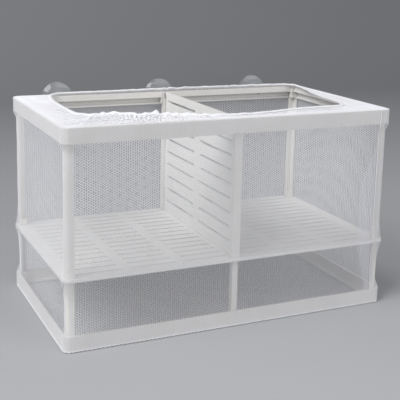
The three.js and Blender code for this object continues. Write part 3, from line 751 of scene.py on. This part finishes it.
HALF_BREADTH, HALF_THICKNESS, ROLLED_THICKNESS = 1.6 * MM, 0.48 * MM, 0.45 * MM
around = np.arange(SIDES) / SIDES * 2 * math.pi
phase = 2 * math.pi * PLEATS * share + 2.5 * np.sin(2 * math.pi * 23 * share)
pleat = np.sin(phase[:, None] + 1.6 * np.sin(around))
tip = (0.1 + 0.2 * rolled + crumpled * (0.6 + 0.5 * ruffle(place, 0.8, 2.0)))[:, None]
broad = HALF_BREADTH * (1 + 0.05 * pleat + soft_noise(90, 0.08)[:, None]) * np.cos(around)
thick = (HALF_THICKNESS + ROLLED_THICKNESS * rolled)[:, None] * np.sin(around)
thick = thick * (1 + 0.13 * pleat + soft_noise(90, 0.12)[:, None])
across = broad * np.cos(tip) - thick * np.sin(tip)
upwards = broad * np.sin(tip) + thick * np.cos(tip)
points = np.concatenate([
    middle[:, None, :] + inward[:, None, :] * across[..., None],
    (level[:, None] + upwards)[..., None],
], -1).reshape(-1, 3)
hem = mesh_piece("elastic_hem_gathered", points, ring_faces(STATIONS, SIDES, STATIONS * SIDES), hem_yarn)
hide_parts("elastic_hem")
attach(hem, "box")
print(f"hem: {2 * STATIONS * SIDES} triangles, {1000 * points[:, 2].max():.1f} mm high at most")


# %% [markdown]
# ### The side seam and its flap
# The bag is one length of net joined by a seam, which runs up the front about 10 mm from the
# right corner. The seam shows as a row of small bright stitches, and the cloth left over behind
# it as a second layer that widens downwards as far as the false floor.

# %% A seam cord along a line of points
def seam_cord(name, line, radius, stitch, closed=False):
    """A thin cord of overlocked yarn, beaded where each stitch pulls it in."""
    gone = np.concatenate([[0], np.cumsum(np.linalg.norm(np.diff(line, axis=0), axis=1))])
    forward = np.gradient(line, axis=0)
    forward /= np.linalg.norm(forward, axis=1, keepdims=True)
    helper = np.where(np.abs(forward[:, 2:3]) > 0.7, [[1.0, 0, 0]], [[0, 0, 1.0]])
    first = np.cross(forward, helper)
    first /= np.linalg.norm(first, axis=1, keepdims=True)
    second = np.cross(forward, first)
    sides = 7
    turn = np.arange(sides) / sides * 2 * math.pi
    width = radius * (1 + 0.28 * np.cos(2 * math.pi * gone / stitch))
    ring = first[:, None] * np.cos(turn)[:, None] + second[:, None] * np.sin(turn)[:, None]
    points = (line[:, None] + ring * width[:, None, None]).reshape(-1, 3)
    total = len(points)
    faces = ring_faces(len(line) if closed else len(line) - 1, sides, total).tolist()
    if not closed:
        faces.append(list(range(sides))[::-1])
        faces.append(list(range(total - sides, total)))
    piece = mesh_piece(name, points, faces, hem_yarn)
    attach(piece, "box")
    print(f"{name}: {1000 * gone[-1]:.0f} mm long, {gone[-1] / stitch:.0f} stitches")


SEAM_PLACE = stretch_starts[2] - 4.6 * MM
levels = np.arange(1.5 * MM, wall_height, 0.35 * MM)
seam_points, seam_out = wall(np.full(levels.shape, SEAM_PLACE), levels)
seam_cord("net_side_seam", seam_points + 0.15 * MM * seam_out, 0.38 * MM, 1.5 * MM)

along = np.arange(0, bag_round, 0.4 * MM)
rim_points, _ = outline(along, 0.25 * MM)
base_line = np.column_stack([rim_points, np.full(len(along), base_low.z - 0.05 * MM)])
seam_cord("net_base_seam", base_line, 0.42 * MM, 1.6 * MM, closed=True)


# %% Knit the seam's flap
FLAP_WIDTH, FLAP_LENGTH = 13.5 * MM, 135 * MM
FLAP_OPEN_SHARE = 0.66
BEHIND_WALL = 0.38 * MM


def flap_surface(along, upward):
    # a tenth of a column short of the next cell: the flap's broader cords show beside the wall's
    point, outward = wall(along - 0.9 * column_width, upward + 0.5 * row_height)
    return point - BEHIND_WALL * outward, outward


def in_flap(along, upward):
    """The flap starts under the rail, is full at half height, and narrows under the false floor."""
    level = WALL_BOTTOM + upward
    width = FLAP_WIDTH * smooth_step(rim_underside - level, 14 * MM, 52 * MM)
    width = width * (0.35 + 0.65 * smooth_step(level, base_top, floor_high.z))
    return (along > SEAM_PLACE - width) & (along < SEAM_PLACE) & (level > base_top)


flap_columns = (column_at(SEAM_PLACE - 15 * MM), column_at(SEAM_PLACE) + 1)
flap, cut_area = knit(
    "net_seam_flap", flap_columns, (0, wall_rows), flap_surface, FLAP_OPEN_SHARE, in_flap)
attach(flap, "box")

# %% [markdown]
# ## The suction cups
# Each cup is a soft clear moulding: a thin bell with a rounded rim, a thick stem, and a button
# that pops through the hole in the frame. Clear plastic shows its thickness, so the inside must
# be there. The half profile is drawn once as a row of edges and spun round its axis.

# %% Clear soft plastic
clear_values = {
    "Colour": (0.97, 0.98, 0.99, 1), "Tint": (0.90, 0.93, 0.95, 1), "Smooth": 0.05, "Worn": 0.18,
}
clear, shader, _ = group_material("clear soft plastic", moulded, clear_values, 0.2, 0.04 * MM)
shader.inputs["Transmission Weight"].default_value = 0.98
shader.inputs["IOR"].default_value = 1.45
print("clear plastic made from", moulded.name)

# %% Spin one cup
# radius and reach behind the rim's back face, in millimetres: button, neck, stem, bell, inside
CUP_PROFILE = [
    (0, -3.8), (1.4, -3.8), (2.0, -3.4), (2.2, -2.7), (2.1, -2.2), (1.7, -2.1), (1.6, -1.9),
    (1.6, 0.9), (1.9, 1.1), (3.3, 1.15), (3.6, 1.5), (3.6, 4.1), (4.3, 5.6), (5.9, 7.0), (8.1, 8.4),
    (10.3, 9.8), (12.0, 11.2), (13.2, 12.4), (13.5, 12.6), (13.35, 12.6), (12.7, 12.1), (11.5, 11.6),
    (9.6, 10.9), (7.2, 10.2), (4.4, 9.7), (0, 9.6),
]
CUP_STEPS = 40
bpy.ops.mesh.primitive_circle_add(vertices=8, radius=MM)
cup = bpy.context.object
cup.name = "suction_cup_middle_clear"
mesh = cup.data
mesh.clear_geometry()
mesh.from_pydata([(radius * MM, 0, reach * MM) for radius, reach in CUP_PROFILE],
                 [(k, k + 1) for k in range(len(CUP_PROFILE) - 1)], [])
bpy.ops.object.mode_set(mode="EDIT")
bpy.ops.mesh.select_all(action="SELECT")
bpy.ops.mesh.spin(steps=CUP_STEPS, angle=2 * math.pi, center=(0, 0, 0), axis=(0, 0, 1))
bpy.ops.mesh.select_all(action="SELECT")
bpy.ops.mesh.remove_doubles(threshold=0.02 * MM)
bpy.ops.mesh.normals_make_consistent(inside=False)
bpy.ops.object.mode_set(mode="OBJECT")
bpy.ops.object.shade_smooth()
mesh.materials.clear()
mesh.materials.append(clear)
print("cup:", len(mesh.polygons), "faces")

# %% Stand it in the back wall's middle hole, and copy it to the other two
cup_low, cup_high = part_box("suction_cup_middle")
hole = Matrix.Translation((0, rim_high.y, (cup_low.z + cup_high.z) / 2))
mesh.transform(hole @ Matrix.Rotation(-math.pi / 2, 4, "X"))
cups = {"middle": cup}
for side in ("left", "right"):
    low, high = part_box(f"suction_cup_{side}")
    cups[side] = bpy.data.objects.new(f"suction_cup_{side}_clear", mesh.copy())
    bpy.context.scene.collection.objects.link(cups[side])
    cups[side].data.transform(Matrix.Translation(((low.x + high.x) / 2, 0, 0)))
for side, piece in cups.items():
    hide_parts(f"suction_cup_{side}")
    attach(piece, f"cup_{side}")
print("cups:", ", ".join(cups))

# %% [markdown]
# ## Floor, backdrop and light
# A white object needs a backdrop that is pale but not white, or its edges vanish. White net
# needs more: where the floor behind it is as bright as its cords, the cells can't be seen. So the
# floor is pale in front and deepens evenly towards the back. The light is soft: a broad panel
# over the left shoulder, a weaker one from the right, and a plain pale world.

# %% The stage
stage_grey = bpy.data.materials.new("stage grey")
stage_grey.use_nodes = True
tree = stage_grey.node_tree
shader = tree.nodes["Principled BSDF"]
place = add_node(tree, "ShaderNodeTexCoord").outputs["Object"]
clouds = add_node(tree, "ShaderNodeTexNoise", None, Scale=3.0, Detail=2.0, Vector=place)
pale = mixed(tree, clouds.outputs["Fac"], (0.43, 0.435, 0.445, 1), (0.45, 0.455, 0.465, 1))
depth = add_node(tree, "ShaderNodeSeparateXYZ", None, Vector=place).outputs["Y"]
back_share = ramp_between(tree, depth, 0.0, 1.0, -0.25, 1.0)
feed(tree, shader.inputs["Base Color"], mixed(tree, back_share, pale, (0.27, 0.275, 0.285, 1)))
shader.inputs["Roughness"].default_value = 0.85
WIDTH, NEAR, FAR, HIGH, BEND = 5.0, -3.0, 1.8, 3.0, 0.8
BELOW_NET = 0.2 * MM
turns = np.linspace(0, math.pi / 2, 16)[1:]
profile = [(NEAR, 0.0), (FAR - BEND, 0.0)]
profile += [(FAR - BEND + BEND * math.sin(a), BEND - BEND * math.cos(a)) for a in turns]
profile += [(FAR, HIGH)]
points = [(side * WIDTH / 2, y, z - BELOW_NET) for y, z in profile for side in (-1, 1)]
faces = [(2 * k, 2 * k + 1, 2 * k + 3, 2 * k + 2) for k in range(len(profile) - 1)]
stage = mesh_piece("stage", points, faces, stage_grey)
print(f"floor {WIDTH:.0f} m wide, bending up {FAR - BEND:.0f} m behind the box")


# %% Lamps and world
BOX_MIDDLE = Vector((0, 0, 0.08))


def soft_panel(name, place, size, power):
    """A square soft light that faces the box."""
    lamp = bpy.data.objects.new(name, bpy.data.lights.new(name, "AREA"))
    lamp.data.shape = "SQUARE"
    lamp.data.size = size
    lamp.data.energy = power
    lamp.location = place
    lamp.rotation_mode = "QUATERNION"
    lamp.rotation_quaternion = (Vector(place) - BOX_MIDDLE).to_track_quat("Z", "Y")
    bpy.context.scene.collection.objects.link(lamp)
    print(f"{name}: {power} W from {(Vector(place) - BOX_MIDDLE).length:.2f} m")


soft_panel("key", (-1.3, -0.45, 1.5), 1.2, 31.5)
soft_panel("fill", (0.9, -1.6, 0.9), 1.2, 9.5)
world = bpy.data.worlds.new("pale room")
world.use_nodes = True
room = world.node_tree.nodes["Background"]
room.inputs["Color"].default_value = (0.96, 0.97, 1.0, 1)
room.inputs["Strength"].default_value = 0.40
bpy.context.scene.world = world
bpy.context.scene.view_settings.view_transform = "Standard"
